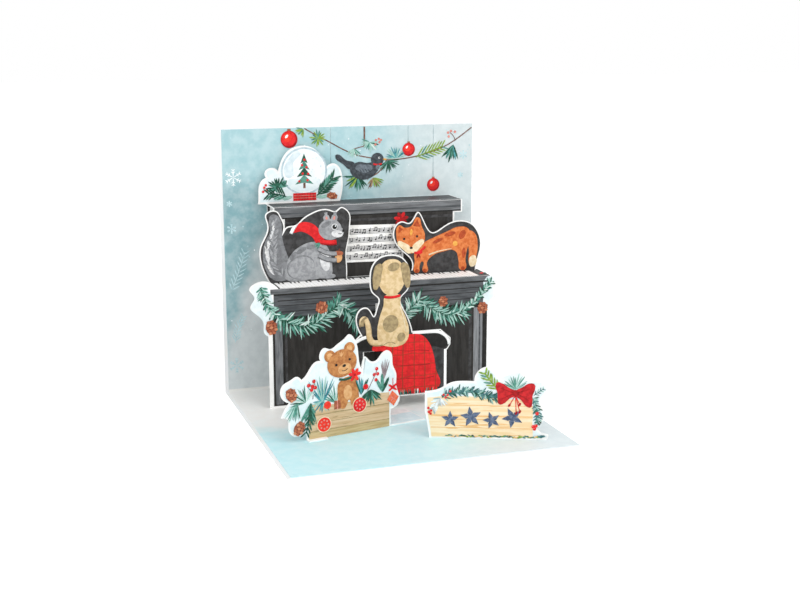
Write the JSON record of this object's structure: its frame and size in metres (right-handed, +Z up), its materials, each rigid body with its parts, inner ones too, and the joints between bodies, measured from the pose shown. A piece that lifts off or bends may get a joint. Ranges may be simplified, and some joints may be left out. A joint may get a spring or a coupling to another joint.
{
  "type": "pop-up greeting card",
  "caption": "Square pop-up greeting card standing open at a right angle, with an upright piano in layers, die-cut animals, a snow globe, a crate and a sign.",
  "frame": {"origin": "middle of the base's underside", "axes": "+X to the right and +Y to the back panel as the opened card faces its reader, +Z up"},
  "size_m": [0.1334, 0.1334, 0.1333],
  "materials": {
    "cover_card": "satin card",
    "printed_liner": "matt printed paper",
    "printed_card": "matt printed card",
    "plain_card": "plain white card"
  },
  "bodies": {
    "root": {"card_cover": "cover_card", "inner_liner": "printed_liner", "piano_upper_case": "printed_card", "piano_lower_case": "printed_card", "snow_globe": "printed_card", "squirrel": "printed_card", "fox": "printed_card", "puppy_on_stool": "printed_card", "crate": "printed_card", "sign": "printed_card", "globe_strap": "plain_card", "squirrel_strap": "plain_card", "fox_strap": "plain_card", "stool_strap": "plain_card", "puppy_strap": "plain_card", "crate_strap": "plain_card", "sign_strap": "plain_card"}
  },
  "joints": []
}
